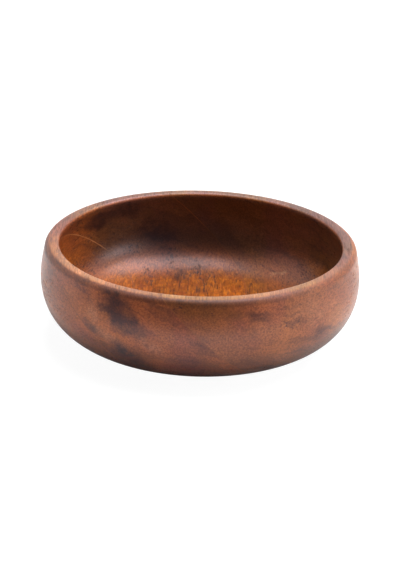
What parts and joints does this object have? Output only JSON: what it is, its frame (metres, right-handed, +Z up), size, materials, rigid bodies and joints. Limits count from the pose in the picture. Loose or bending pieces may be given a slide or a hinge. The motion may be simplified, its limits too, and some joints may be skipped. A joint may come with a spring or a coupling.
{
  "type": "nut bowl",
  "caption": "Small round turned wooden bowl for nuts, with a flat base, a full rounded side, a wall that curls in and a plain lip, glued up from thick boards with leaning joints.",
  "frame": {"origin": "middle of the flat base, on the surface that the bowl stands on", "axes": "+Z up along the turning axis, -Y towards the viewer of the picture, +X to the viewer's right"},
  "size_m": [0.152, 0.152, 0.0477],
  "materials": {
    "wood_left": "oiled, satin",
    "wood_middle": "oiled, satin",
    "wood_right": "oiled, satin",
    "glue": "dried wood glue under the oil"
  },
  "bodies": {
    "root": {"left_board": "wood_left", "middle_board": "wood_middle", "right_board": "wood_right", "left_glue_line": "glue", "right_glue_line": "glue"}
  },
  "joints": []
}
